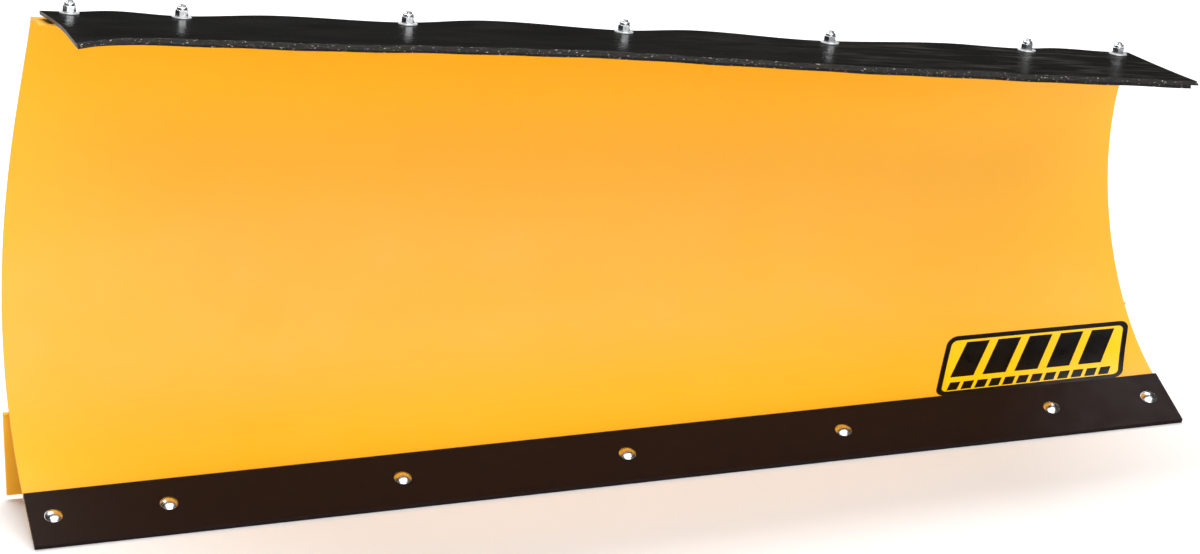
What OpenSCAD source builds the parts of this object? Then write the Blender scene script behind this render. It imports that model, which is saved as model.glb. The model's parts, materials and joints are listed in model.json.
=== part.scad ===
// Tapered plow blade for an all-terrain vehicle.
// X runs along the blade, high end at -X. -Y is the side that meets the snow. Z = 0 is the floor.
// A station of a bent sheet is [[y, z], heading]: a point and the direction the sheet runs in,
// in degrees above the floor, looking along +X. The back of the sheet is on the right of its heading.

/* [Moldboard] */
// Width of the moldboard, 60 in
blade_w = 1524; // [1320:4:1830]
// Thickness of the moldboard sheet, 11 gauge
sheet_t = 3.04; // [2:0.01:5]
// Roll radius of the sheet at the high end
roll_r_high = 338; // [320:1:350]
// Roll radius of the sheet at the low end
roll_r_low = 280.6; // [260:0.1:300]
// Angle of the cutting edge above the floor
attack_angle = 27; // [25:0.5:32]
// Heading of the sheet where the top flange starts, high end
top_heading_high = 145; // [135:0.1:150]
// Heading of the sheet where the top flange starts, low end
top_heading_low = 124.9; // [115:0.1:135]
// Straight length of sheet behind the wear bar, measured from the bar's lower edge
flat_h = 97.6; // [95:0.1:110]
// Trim of the high end, inward from the bottom corner to the top corner
end_trim = 49; // [0:1:60]
// Depth of the top flange
flange_d = 55; // [50:1:70]
// Rise of the flange's crown above a straight line between its ends
crown = 4.4; // [0:0.1:8]

/* [Wear bar] */
// Height of the wear bar
bar_h = 92; // [76:1:95]
// Thickness of the wear bar, 1/4 in
bar_t = 6.35; // [5:0.05:10]
// Height of the bolts above the bar's lower edge, along the bar
bar_bolt_h = 47.9; // [40:0.1:55]

/* [Rubber flap] */
// Width of the flap, back edge to front edge
flap_w = 198; // [160:1:220]
// Thickness of one ply of rubber belting, 3/16 in
ply_t = 4.76; // [2:0.01:6]

/* [Skid shoes] */
// Distance of each shoe from the middle of the blade
shoe_x = 560; // [520:5:600]
// Radius of the shoe's disc
shoe_r = 50; // [40:1:54]
// Free play of the shoe in its socket
shoe_play = 6; // [2:0.5:8]

/* [Pivot and springs] */
// Distance of each pair of pivot ears from the middle of the blade
ear_x = 90; // [70:5:120]
// Gap between the two ears of a pair
ear_gap = 52; // [40:1:60]
// Radius of the pivot pin's holes, for a 1/2 in pin
pivot_r = 6.5; // [6.4:0.05:8.2]

/* [Hidden] */
$fn = 48;

half_w = blade_w / 2;
high = 0;
low = 1;
// Shift that puts the middle of the whole blade at y = 0
y_mid = 119.87;

// Shared
through = 40;           // length of a cutter that goes right through a sheet
seat_gap = 0.05;        // gap between faces that are clamped together
thread_play = 0.03;     // radial gap between a bolt and its nut

// Moldboard
lower_gap = 20;         // bar's lower edge to the sheet's lower edge
roll_steps = 44;
fold_r = 8;
fold_steps = 4;
flange_heading = [178.7, 181.7];
roll_r = [roll_r_high, roll_r_low];
top_heading = [top_heading_high, top_heading_low];
trim_span = 113;        // degrees of roll over which the high end is trimmed inward
trim_power = 1.4;
trim_limit = 1.06;
crown_x = -90;
crown_step = 400 / 3;   // spacing of the sections that the crown is drawn through
crown_steps = [-4, 6];  // first and last of them, from the one at crown_x
crown_reach = 3;        // steps from crown_x to where the crown ends
flange_steps = 4;

// Bolts of 3/8 in
bolt_r = 4.76;
bolt_hole_r = 5.2;
bolt_pitch = [-732, -590.5, -295.1, 0, 295.1, 590.5, 732];
bolt_head_r = 11;
bolt_head_h = 5;
bolt_neck_w = 9.4;
bar_hole_w = 9.8;
neck_h = 5.2;
bar_bolt_len = 19.05;
nut_af = 14.3;
nut_h = 8.3;
nut_flange_r = 10.2;
nut_flange_h = 1.6;
washer_t = 1.65;
washer_r = 12.2;
lock_nut_h = 11.6;
lock_nut_hex_h = 8.2;
nut_collar_r = nut_af / 2 - 0.3;
insert_h = 2.2;
insert_w = 1.4;
insert_z = lock_nut_h - insert_h - 0.8;
insert_play = 0.02;
flap_bolt_len = 29;
flap_bolt_head_h = 6;
washer_lift = 0.4;      // the flap's bend keeps the washers this far off it
flange_bolt_d = 33;     // fold to the bolts
flange_bolt_end = [-673.7, 725.4];

// Rubber flap
flap_start_d = 14;      // fold to the flap's back edge
flap_steps = 14;
flap_end_heading = [184, 180];
flap_x_back = [-705, 752];
flap_x_front = [-690, 756.5];
lower_ply_inset = [12, 10];  // how far the lower ply's ends stand inside the upper ply's
flap_top = sheet_t + 2 * (ply_t + seat_gap);

// Lower angle
angle_t = 3.04;
angle_x = [-half_w - 5.5, half_w + 5.5];
angle_foot = [[211.7, 5.5], [206.5, 5.5]];
angle_head = [[200.2, 119], [195, 119]];
angle_lip = 8.5;
angle_clip = 6;         // corner clipped off the lip at the low end
angle_bend_r = 6;
bend_cut = 0.25;        // share of the bend radius cut off the corner

// Ribs
rib_t = 4.76;
rib_x = [-700, -430, -155, 155, 430, 700];
rib_gap = 0.4;
rib_depth = 38;
rib_tip = 9;
rib_last = 38;          // station of the roll where a rib ends
rib_clear = 2.5;        // height of a rib's lower tip above the angle

// Pivot ears and spring anchors
ear_t = 8;
ear_r = 24;
pivot = [288, 140];
ear_root_z = [20, 100];
ear_foot = 8;
plate_t = 6.35;
plate_len = 2 * ear_x + 110;
plate_z = [14, 106];
weld_gap = 0.3;         // gap between pieces that are welded together
rail_h = 38;
rail_t = 4.76;
rail_z = 328;
rail_gap = 0.5;
tab_t = 6.35;
tab_x = 95;
tab_hole_r = 5.2;
tab_r = 14;
tab_y = 312;
tab_rise = 18;
tab_foot = [20, 3];
tab_inset = 6;

// Skid shoes
shoe_y = 270;
post_r = 9.5;
post_top = 128;
socket_play = 0.08;     // running clearance of the post in its socket
socket_r = 15.9;
socket_z = [27, 97];
disc_t = 6;
disc_lip = 9;
disc_bevel = 12;
rim = 4;
post_chamfer = 1.5;
hub_r = 19;
hub_top = 13.9;
shim_t = 3.2;
shim_r = 19;
shim_hole_r = 9.9;
shims_below = 4;
shims_spare = 2;
shim_play = 0.02;
bracket_w = 64;
bracket_t = 5;
bracket_z = [33, 86];
touch = 0.1;            // gap between faces that rest on each other but move apart

// Lynch pins
lynch_r = 4;
lynch_hole_r = 4.3;
lynch_gap = 0.6;
lynch_z = socket_z[1] + shims_spare * (shim_t + touch) + shoe_play + lynch_r + lynch_gap;
lynch_tip = 26;
ring_r = 24;
ring_wire_r = 1.5;
ring_eye_r = 2.3;
ring_rise = lynch_r + ring_wire_r + lynch_gap;
lynch_head = [8, 9, 13];

// Decal
decal_x = [446, 714];
decal_lean = 44;        // how far the decal's top edge is shifted along the blade
decal_first = 1;
decal_last = 9;
decal_t = 0.25;

paint = "gold";
raw_steel = "dimgray";
zinc = "silver";
rubber = [0.12, 0.12, 0.12];

// ---- points and stations

function dir(h) = [cos(h), sin(h)];
function back(h) = [sin(h), -cos(h)];
function lerp(a, b, u) = a + (b - a) * u;
function at(station, d) = station[0] + d * back(station[1]);

// Point of the wear bar s up from its front lower edge and d behind its front face.
// The bar stands on its back lower edge.
function bar_point(s, d) =
    [0, bar_t * cos(attack_angle)] + s * dir(attack_angle) + d * back(attack_angle);
function roll_start() = bar_point(flat_h, bar_t + seat_gap);
function roll_centre(side) = roll_start() - roll_r[side] * back(attack_angle);
function roll_point(side, h) = roll_centre(side) + roll_r[side] * back(h);
function fold_centre(side) =
    roll_point(side, top_heading[side]) - fold_r * back(top_heading[side]);
function fold_point(side, h) = fold_centre(side) + fold_r * back(h);

// Front face of the sheet from its lower edge to the end of the top flange
function sheet_stations(side) = concat(
    [[bar_point(lower_gap, bar_t + seat_gap), attack_angle]],
    [for (i = [0:roll_steps])
        let (h = lerp(attack_angle, top_heading[side], i / roll_steps)) [roll_point(side, h), h]],
    [for (i = [1:fold_steps])
        let (h = lerp(top_heading[side], flange_heading[side], i / fold_steps))
            [fold_point(side, h), h]],
    [for (i = [1:flange_steps])
        [fold_point(side, flange_heading[side])
            + flange_d * i / flange_steps * dir(flange_heading[side]), flange_heading[side]]]);

sheet_high = sheet_stations(high);
sheet_low = sheet_stations(low);
station_count = len(sheet_high);

// X of the sheet's high end, which is trimmed inward as it rises
function trim_x(h) =
    let (w = min((h - attack_angle) / trim_span, trim_limit))
        -half_w + end_trim * pow(sin(90 * pow(max(w, 0), trim_power)), 2);
function share(x, h) = (x - trim_x(h)) / (half_w - trim_x(h));

// Rise of the sheet's crown at x, and the share of it that each station takes
crown_table = [for (k = [crown_steps[0]:crown_steps[1]])
    [crown_x + k * crown_step, crown * pow(cos(90 * min(abs(k) / crown_reach, 1)), 2)]];
function crown_at(x) = lookup(x, crown_table);
crown_spans = len(crown_table) + 1;
// X of cross-section k of a sheet from x = a to x = b
function crowned_x(k, a, b) = k == 0 ? a : k == crown_spans ? b : crown_table[k - 1][0];
function crown_slope(x) = atan((crown_at(x + 1) - crown_at(x - 1)) / 2);
function crown_share(i) = pow(min(max(i - 1, 0) / roll_steps, 1), 2);

// Point of the sheet at x, station i, d behind its front face, as [y, z]
function sheet_point(x, i, d) =
    lerp(at(sheet_high[i], d), at(sheet_low[i], d), share(x, sheet_high[i][1]))
    + [0, crown_share(i) * crown_at(x)];

// Point on the flange at x, s in front of the fold, d above its underside
function flange_side(side, s, d) =
    fold_point(side, flange_heading[side]) + s * dir(flange_heading[side])
    + d * back(flange_heading[side]);
function flange_point(x, s, d) =
    lerp(flange_side(high, s, d), flange_side(low, s, d), share(x, top_heading_high))
    + [0, crown_at(x)];
function flange_turn(x) = lerp(flange_heading[high], flange_heading[low],
    share(x, top_heading_high));
flange_slope = atan((flange_side(high, 0, 0)[1] - flange_side(low, 0, 0)[1])
    / (half_w - trim_x(top_heading_high)));

// Stations of the flap, on the flange first and then bending to its end heading
function flap_heading(side, s) =
    let (free = flange_d - flap_start_d)
        lerp(flange_heading[side], flap_end_heading[side],
            max(0, (s - free) / (flap_w - free)));
function flap_walk(side, p, i) =
    let (step = flap_w / flap_steps, s = i * step)
        i == flap_steps ? [[p, flap_heading(side, s)]]
        : concat([[p, flap_heading(side, s)]],
            flap_walk(side, p + step * dir(flap_heading(side, s + step / 2)), i + 1));
function flap_stations(side) =
    flap_walk(side, flange_point(flap_x_back[side], flap_start_d, sheet_t), 0);

function xyz(x, p) = [x, p[0] - y_mid, p[1]];
function flange_bolt_x(i) =
    lerp(flange_bolt_end[0], flange_bolt_end[1],
        (bolt_pitch[i] - bolt_pitch[0]) / (bolt_pitch[6] - bolt_pitch[0]));

// ---- shared modules

// Cross-section of a bent sheet: its front face, then its back face in reverse
function section(front, back) = concat(front, [for (i = [len(back) - 1:-1:0]) back[i]]);

// Bent sheet through a row of cross-sections
module lofted_sheet(sections) {
    n = len(sections[0]);
    last = (len(sections) - 1) * n;
    quad = function (a, b, c, d) [[a, b, c], [a, c, d]];
    sides = [for (k = [0:len(sections) - 2], i = [0:n - 1])
        let (a = k * n + i, b = k * n + (i + 1) % n)
            each i < n / 2 ? quad(a, b, b + n, a + n) : quad(b, b + n, a + n, a)];
    ends = [for (i = [0:n / 2 - 2]) each concat(
        quad(i, n - 1 - i, n - 2 - i, i + 1),
        quad(last + i, last + i + 1, last + n - 2 - i, last + n - 1 - i))];
    polyhedron([for (points = sections) each points], concat(sides, ends));
}

// Plate in a plane of constant x, from an outline of [y, z] points
module plate(x, t) {
    translate([x, -y_mid, 0]) rotate([90, 0, 90]) linear_extrude(t, center = true) children();
}

// Places its children on the bar, their +Z pointing out of its front face
module on_bar(x, s, d = 0) {
    translate(xyz(x, bar_point(s, d))) rotate([attack_angle, 0, 0]) children();
}

// Places its children on the flange's seven bolts, their +Z pointing up from its underside
module on_flange_bolts() {
    for (i = [0:6]) {
        x = flange_bolt_x(i);
        translate(xyz(x, flange_point(x, flange_bolt_d, 0)))
            rotate([flange_turn(x) - 180, flange_slope - crown_slope(x), 0]) children();
    }
}

module on_bar_bolts() {
    for (x = bolt_pitch) on_bar(x, bar_bolt_h) children();
}

module ring(r, hole_r, h) {
    difference() {
        cylinder(r = r, h = h);
        translate([0, 0, -1]) cylinder(r = hole_r, h = h + 2);
    }
}

module hex(af, h) {
    cylinder(d = af / cos(30), h = h, $fn = 6);
}

// Carriage bolt: its head sits on z = 0 and the shank points down
module carriage_bolt(len) {
    cap_r = (pow(bolt_head_r, 2) + pow(bolt_head_h, 2)) / (2 * bolt_head_h);
    intersection() {
        translate([0, 0, bolt_head_h - cap_r]) sphere(r = cap_r);
        cylinder(r = bolt_head_r, h = bolt_head_h + 1);
    }
    translate([0, 0, -neck_h / 2]) cube([bolt_neck_w, bolt_neck_w, neck_h + 0.02], center = true);
    translate([0, 0, -len]) cylinder(r = bolt_r, h = len);
}

// ---- blade

module moldboard() {
    n = station_count - 1;
    color(paint) difference() {
        lofted_sheet([for (k = [0:crown_spans])
            let (face = function (d) [for (i = [0:n])
                let (x = crowned_x(k, trim_x(sheet_high[i][1]), half_w))
                    xyz(x, sheet_point(x, i, d))])
            section(face(0), face(sheet_t))]);
        on_bar_bolts() cylinder(r = bolt_hole_r, h = through, center = true);
        on_flange_bolts() cylinder(r = bolt_hole_r, h = through, center = true);
    }
}

module wear_bar() {
    color(raw_steel) difference() {
        on_bar(-half_w, 0) translate([0, 0, -bar_t]) cube([blade_w, bar_h, bar_t]);
        on_bar_bolts() cube([bar_hole_w, bar_hole_w, through], center = true);
    }
}

module bar_bolts() {
    color(zinc) on_bar_bolts() carriage_bolt(bar_bolt_len);
}

module bar_nuts() {
    seat_z = -bar_t - sheet_t - 2 * seat_gap;
    color(zinc) on_bar_bolts() translate([0, 0, seat_z - nut_h]) difference() {
        union() {
            hex(nut_af, nut_h);
            translate([0, 0, nut_h - nut_flange_h]) cylinder(r = nut_flange_r, h = nut_flange_h);
        }
        cylinder(r = bolt_r + thread_play, h = through, center = true);
    }
}

module flap_ply(bottom, inset) {
    a = flap_stations(high);
    b = flap_stations(low);
    end_x = function (side, i) lerp(flap_x_back[side], flap_x_front[side], i / flap_steps);
    color(rubber) difference() {
        lofted_sheet([for (k = [0:crown_spans])
            let (face = function (d) [for (i = [0:flap_steps])
                let (x = crowned_x(k, end_x(high, i) + inset[high], end_x(low, i) - inset[low]),
                    u = (x - end_x(high, i)) / (end_x(low, i) - end_x(high, i)))
                    xyz(x, lerp(at(a[i], d), at(b[i], d), u) + [0, crown_at(x)])])
            section(face(bottom), face(bottom + ply_t))]);
        on_flange_bolts() cylinder(r = bolt_hole_r, h = through, center = true);
    }
}

module flap_lower_ply() { flap_ply(seat_gap, lower_ply_inset); }
module flap_upper_ply() { flap_ply(ply_t + 2 * seat_gap, [0, 0]); }

module flap_bolts() {
    color(zinc) on_flange_bolts() {
        translate([0, 0, -touch - flap_bolt_head_h]) hex(nut_af, flap_bolt_head_h);
        translate([0, 0, -flap_bolt_head_h])
            cylinder(r = bolt_r, h = flap_bolt_len + flap_bolt_head_h);
    }
}

module flap_washers() {
    color(zinc) on_flange_bolts() translate([0, 0, flap_top + washer_lift])
        ring(washer_r, bolt_hole_r, washer_t);
}

module flap_nuts() {
    color(zinc) on_flange_bolts() translate([0, 0, flap_top + washer_lift + washer_t]) difference() {
        union() {
            hex(nut_af, lock_nut_hex_h);
            cylinder(r = nut_collar_r, h = lock_nut_h);
        }
        cylinder(r = bolt_r + thread_play, h = through, center = true);
        translate([0, 0, insert_z]) cylinder(r = bolt_r + insert_w, h = insert_h);
    }
}

module nut_inserts() {
    color("royalblue") on_flange_bolts()
        translate([0, 0, flap_top + washer_lift + washer_t + insert_z + insert_play])
            ring(bolt_r + insert_w - insert_play, bolt_r + thread_play, insert_h - 2 * insert_play);
}

// Outline of the lower angle at one end, foot to top lip, as stations of its outer face
function angle_stations(side) =
    let (foot = angle_foot[side], head = angle_head[side],
        lean = atan2(head[1] - foot[1], head[0] - foot[0]))
        [[foot, lean], [head - angle_bend_r * dir(lean), lean],
            [head - angle_bend_r * bend_cut * [1, 1], (lean + 180) / 2],
            [head - [angle_bend_r, 0], 180], [head - [angle_lip, 0], 180]];

module lower_angle() {
    a = angle_stations(high);
    b = angle_stations(low);
    n = len(a) - 1;
    face = function (side, stations, clip, d) [for (i = [0:n])
        xyz(angle_x[side] - (i == n ? clip : 0), at(stations[i], d))];
    color(paint) lofted_sheet([
        section(face(high, a, 0, -angle_t), face(high, a, 0, 0)),
        section(face(low, b, angle_clip, -angle_t), face(low, b, angle_clip, 0))]);
}

// First station of the roll where a rib's tip is clear of the angle
function rib_first(x) = min([for (i = [1:rib_last])
    if (sheet_point(x, i, sheet_t + rib_gap + rib_tip)[1] > angle_head[high][1] + rib_clear) i]);

// Crescent rib that follows the back of the moldboard
module rib(x) {
    rib_first = rib_first(x);
    inner = [for (i = [rib_first:rib_last]) sheet_point(x, i, sheet_t + rib_gap)];
    outer = [for (i = [rib_last:-1:rib_first])
        let (k = (i - rib_first) / (rib_last - rib_first))
            sheet_point(x, i, sheet_t + rib_gap + rib_tip + (rib_depth - rib_tip) * sin(180 * k))];
    color(paint) plate(x, rib_t) polygon(concat(inner, outer));
}

module rib_high_end() { rib(rib_x[0]); }
module rib_high_middle() { rib(rib_x[1]); }
module rib_high_pivot() { rib(rib_x[2]); }
module rib_low_pivot() { rib(rib_x[3]); }
module rib_low_middle() { rib(rib_x[4]); }
module rib_low_end() { rib(rib_x[5]); }

// ---- pivot and spring anchors

// Y of the outer face of the angle's web
function web_side(side, z) = lerp(angle_foot[side][0], angle_head[side][0],
    (z - angle_foot[side][1]) / (angle_head[side][1] - angle_foot[side][1]));
function web_y(x, z) =
    lerp(web_side(high, z), web_side(low, z),
        (x - angle_x[high]) / (angle_x[low] - angle_x[high]));
function plate_y(z) = web_y(-plate_len / 2, z) + weld_gap;

// Plate welded flat to the angle's web, which the ears stand on
module pivot_plate() {
    color(paint) plate(0, plate_len) polygon([
        [plate_y(plate_z[0]), plate_z[0]], [plate_y(plate_z[0]) + plate_t, plate_z[0]],
        [plate_y(plate_z[1]) + plate_t, plate_z[1]], [plate_y(plate_z[1]), plate_z[1]]]);
}

module ear(x) {
    root = [for (z = ear_root_z) [plate_y(z) + plate_t + weld_gap, z]];
    color(paint) plate(x, ear_t) difference() {
        hull() {
            polygon([root[0], root[0] + [ear_foot, 0], root[1] + [ear_foot, 0], root[1]]);
            translate(pivot) circle(r = ear_r, $fn = 32);
        }
        translate(pivot) circle(r = pivot_r);
    }
}

module ear_pair(x) {
    for (side = [-1, 1]) ear(x + side * (ear_gap + ear_t) / 2);
}

module pivot_ears_high() { ear_pair(-ear_x); }
module pivot_ears_low() { ear_pair(ear_x); }

rail_len = rib_x[3] - rib_x[2] - rib_t - 2 * rail_gap;
rail_y = max([for (i = [1:roll_steps]) sheet_point(-rail_len / 2, i, sheet_t)[0]]) + rail_gap;

// Angle between the two middle ribs, which carries the trip springs' tabs
module spring_rail() {
    color(paint) translate([-rail_len / 2, rail_y - y_mid, rail_z]) {
        cube([rail_len, rail_h, rail_t]);
        cube([rail_len, rail_t, rail_h]);
    }
}

module spring_tabs() {
    top_z = rail_z + rail_t;
    color(paint) for (side = [-1, 1]) plate(side * tab_x, tab_t) difference() {
        hull() {
            translate([rail_y + tab_inset, top_z + weld_gap]) square(tab_foot);
            translate([tab_y, top_z + tab_rise]) circle(r = tab_r, $fn = 32);
        }
        translate([tab_y, top_z + tab_rise]) circle(r = tab_hole_r);
    }
}

// ---- skid shoes

module at_shoe(side) {
    translate([side * shoe_x, shoe_y - y_mid, 0]) children();
}

// Bent strap from the angle to the socket, a leaf above and a leaf below
module shoe_bracket(side) {
    x = side * shoe_x;
    low_z = bracket_z[0];
    top_z = bracket_z[1] + bracket_t;
    foot_y = web_y(x - bracket_w / 2, low_z) + weld_gap;
    head_y = web_y(x - bracket_w / 2, top_z) + weld_gap;
    color(paint) difference() {
        union() {
            plate(x, bracket_w) polygon([[foot_y, low_z], [shoe_y, low_z],
                [shoe_y, low_z + bracket_t], [foot_y + bracket_t, low_z + bracket_t],
                [head_y + bracket_t, top_z - bracket_t], [shoe_y, top_z - bracket_t],
                [shoe_y, top_z], [head_y, top_z]]);
            for (z = bracket_z)
                at_shoe(side) translate([0, 0, z]) cylinder(r = bracket_w / 2, h = bracket_t);
        }
        at_shoe(side) cylinder(r = socket_r + 0.05, h = 2 * top_z);
    }
}

module shoe_socket(side) {
    color(paint) at_shoe(side) translate([0, 0, socket_z[0]])
        ring(socket_r, post_r + socket_play, socket_z[1] - socket_z[0]);
}

// Dished disc with a hub and a post, drilled across for the lynch pin
module skid_shoe(side) {
    color(raw_steel) at_shoe(side) difference() {
        union() {
            rotate_extrude() polygon([[0, 0], [shoe_r - disc_bevel, 0], [shoe_r, disc_lip],
                [shoe_r, disc_lip + rim], [shoe_r - rim, disc_lip + rim],
                [shoe_r - rim - disc_bevel, disc_t],
                [hub_r, disc_t], [hub_r, hub_top], [post_r, hub_top],
                [post_r, post_top - post_chamfer], [post_r - post_chamfer, post_top],
                [0, post_top]]);
        }
        translate([0, 0, lynch_z]) rotate([0, 90, 0])
            cylinder(r = lynch_hole_r, h = through, center = true);
    }
}

module shoe_washers(side) {
    color(zinc) at_shoe(side) for (i = [0:shims_below - 1])
        translate([0, 0, hub_top + touch + i * shim_t])
            ring(shim_r, shim_hole_r, shim_t - shim_play);
}

module spare_washers(side) {
    color(zinc) at_shoe(side) for (i = [0:shims_spare - 1])
        translate([0, 0, socket_z[1] + touch + i * (shim_t + touch)])
            ring(shim_r, shim_hole_r, shim_t);
}

module lynch_pin(side) {
    color(zinc) at_shoe(side) translate([0, 0, lynch_z]) difference() {
        union() {
            rotate([0, 90, 0]) cylinder(r = lynch_r, h = 2 * lynch_tip, center = true);
            translate([ring_r, 0, 0]) cube(lynch_head, center = true);
        }
        translate([ring_r, 0, 0]) rotate([90, 0, 0])
            cylinder(r = ring_eye_r, h = through, center = true);
    }
}

// The ring turns in the pin's head and rests on the pin's tip
module lynch_ring(side) {
    color(zinc) at_shoe(side) translate([ring_r, 0, lynch_z])
        rotate([0, asin(ring_rise / (2 * ring_r)), 0])
            translate([-ring_r, 0, 0]) rotate_extrude()
                translate([ring_r, 0]) circle(r = ring_wire_r, $fn = 24);
}

module shoe_bracket_high() { shoe_bracket(-1); }
module shoe_socket_high() { shoe_socket(-1); }
module skid_shoe_high() { skid_shoe(-1); }
module shoe_washers_high() { shoe_washers(-1); }
module spare_washers_high() { spare_washers(-1); }
module lynch_pin_high() { lynch_pin(-1); }
module lynch_ring_high() { lynch_ring(-1); }
module shoe_bracket_low() { shoe_bracket(1); }
module shoe_socket_low() { shoe_socket(1); }
module skid_shoe_low() { skid_shoe(1); }
module shoe_washers_low() { shoe_washers(1); }
module spare_washers_low() { spare_washers(1); }
module lynch_pin_low() { lynch_pin(1); }
module lynch_ring_low() { lynch_ring(1); }

// ---- decal

module stripe_decal() {
    face = function (x, d) [for (i = [decal_first:decal_last])
        let (leant = x + decal_lean * (i - decal_first) / (decal_last - decal_first))
            xyz(leant, sheet_point(leant, i, d))];
    color("black") lofted_sheet([for (x = decal_x)
        section(face(x, -seat_gap - decal_t), face(x, -seat_gap))]);
}

moldboard();
wear_bar();
bar_bolts();
bar_nuts();
flap_lower_ply();
flap_upper_ply();
flap_bolts();
flap_washers();
flap_nuts();
nut_inserts();
lower_angle();
rib_high_end();
rib_high_middle();
rib_high_pivot();
rib_low_pivot();
rib_low_middle();
rib_low_end();
pivot_ears_high();
pivot_ears_low();
pivot_plate();
spring_rail();
spring_tabs();
shoe_bracket_high();
shoe_socket_high();
skid_shoe_high();
shoe_washers_high();
spare_washers_high();
lynch_pin_high();
lynch_ring_high();
shoe_bracket_low();
shoe_socket_low();
skid_shoe_low();
shoe_washers_low();
spare_washers_low();
lynch_pin_low();
lynch_ring_low();
stripe_decal();
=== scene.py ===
"""Tapered snow plow blade for an all-terrain vehicle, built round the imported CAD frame.

Lengths are millimetres until metres() turns them into Blender's units. X runs along the blade
from its high end to its low end, -Y faces the snow and Z = 0 is the floor.
"""
import json
import math

import bmesh
import bpy
import numpy as np
from mathutils import Matrix, Vector


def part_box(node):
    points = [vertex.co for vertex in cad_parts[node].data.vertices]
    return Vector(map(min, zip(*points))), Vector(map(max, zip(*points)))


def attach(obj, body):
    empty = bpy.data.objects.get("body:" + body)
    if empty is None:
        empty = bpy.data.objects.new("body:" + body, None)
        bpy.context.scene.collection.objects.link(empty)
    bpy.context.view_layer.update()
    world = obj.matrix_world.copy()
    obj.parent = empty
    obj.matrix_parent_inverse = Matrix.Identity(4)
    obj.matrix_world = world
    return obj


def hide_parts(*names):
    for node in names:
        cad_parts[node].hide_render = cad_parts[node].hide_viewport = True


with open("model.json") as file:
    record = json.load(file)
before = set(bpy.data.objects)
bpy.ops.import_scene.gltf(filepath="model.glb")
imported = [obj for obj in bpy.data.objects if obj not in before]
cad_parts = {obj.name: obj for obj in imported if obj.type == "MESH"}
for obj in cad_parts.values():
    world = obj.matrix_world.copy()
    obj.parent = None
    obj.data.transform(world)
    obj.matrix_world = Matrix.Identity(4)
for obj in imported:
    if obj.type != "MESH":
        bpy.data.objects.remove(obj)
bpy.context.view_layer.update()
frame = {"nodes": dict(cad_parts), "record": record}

# ---- dimensions that part.scad holds too

HALF_W = 762
SHEET_T = 3.04
ROLL_R = (338, 280.6)
ATTACK = 27
TOP_HEADING = (145, 124.9)
FLAT_H = 97.6
END_TRIM = 49
TRIM_SPAN = 113
TRIM_POWER = 1.4
TRIM_LIMIT = 1.06
LOWER_GAP = 20
FOLD_R = 8
FLANGE_HEADING = (178.7, 181.7)
FLANGE_D = 55
CROWN = 4.4
CROWN_X = -90
CROWN_REACH = 400
BAR_T = 6.35
SEAT_GAP = 0.05
Y_MID = 119.87

FLAP_W = 198
PLY_T = 4.76
FLAP_START = 14
FLAP_END_HEADING = (184, 180)
FLAP_X_BACK = (-705, 752)
FLAP_X_FRONT = (-690, 756.5)
LOWER_PLY_INSET = (12, 10)
BOLT_PITCH = (-732, -590.5, -295.1, 0, 295.1, 590.5, 732)
FLANGE_BOLT_END = (-673.7, 725.4)
FLANGE_BOLT_D = 33
BAR_BOLT_H = 47.9

BOLT_R = 4.76
BORE_R = 4.79
NUT_AF = 14.3
WASHER_T = 1.65
WASHER_LIFT = 0.4

ANGLE_X = (-767.5, 767.5)
ANGLE_FOOT = ((211.7, 5.5), (206.5, 5.5))
ANGLE_HEAD = ((200.2, 119), (195, 119))
ANGLE_LIP = 8.5
RIB_X = (-700, -430, -155, 155, 430, 700)
RIB_T = 4.76
RIB_NODES = ("rib_high_end", "rib_high_middle", "rib_high_pivot",
             "rib_low_pivot", "rib_low_middle", "rib_low_end")

# ---- dimensions of the visual model alone

THREAD_PITCH = 1.5875
THREAD_DEPTH = 0.9

# Decal: its lower corners, the lean of its ends and the share of the roll at its upper corners.
# They stand a few millimetres from those of part.scad's film.
DECAL_X = (443, 716)
DECAL_LEAN = (52, 45)
DECAL_TOP = (0.1855, 0.195)


def metres(points):
    return np.asarray(points, float) / 1000


def across(h):
    """Unit vector(s) [y, z] of a heading in degrees."""
    h = np.radians(h)
    return np.stack([np.cos(h), np.sin(h)], axis=-1)


def behind(h):
    """Unit vector(s) [y, z] that point out of the back of a sheet with that heading."""
    h = np.radians(h)
    return np.stack([np.sin(h), -np.cos(h)], axis=-1)


def lerp(a, b, u):
    return a + (b - a) * u


def smooth(u):
    u = np.clip(u, 0, 1)
    return u * u * (3 - 2 * u)


# ---- the sheet's shape

def bar_point(s, d):
    foot = np.array([0, BAR_T * math.cos(math.radians(ATTACK))])
    return foot + np.multiply.outer(s, across(ATTACK)) + d * behind(ATTACK)


def roll_point(side, h):
    start = bar_point(FLAT_H, BAR_T + SEAT_GAP)
    return start - ROLL_R[side] * behind(ATTACK) + ROLL_R[side] * behind(h)


def fold_point(side, h):
    top = TOP_HEADING[side]
    return roll_point(side, top) - FOLD_R * behind(top) + FOLD_R * behind(h)


LAP_STEPS, ROLL_STEPS, FOLD_STEPS, FLANGE_STEPS = 8, 96, 8, 8


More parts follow.
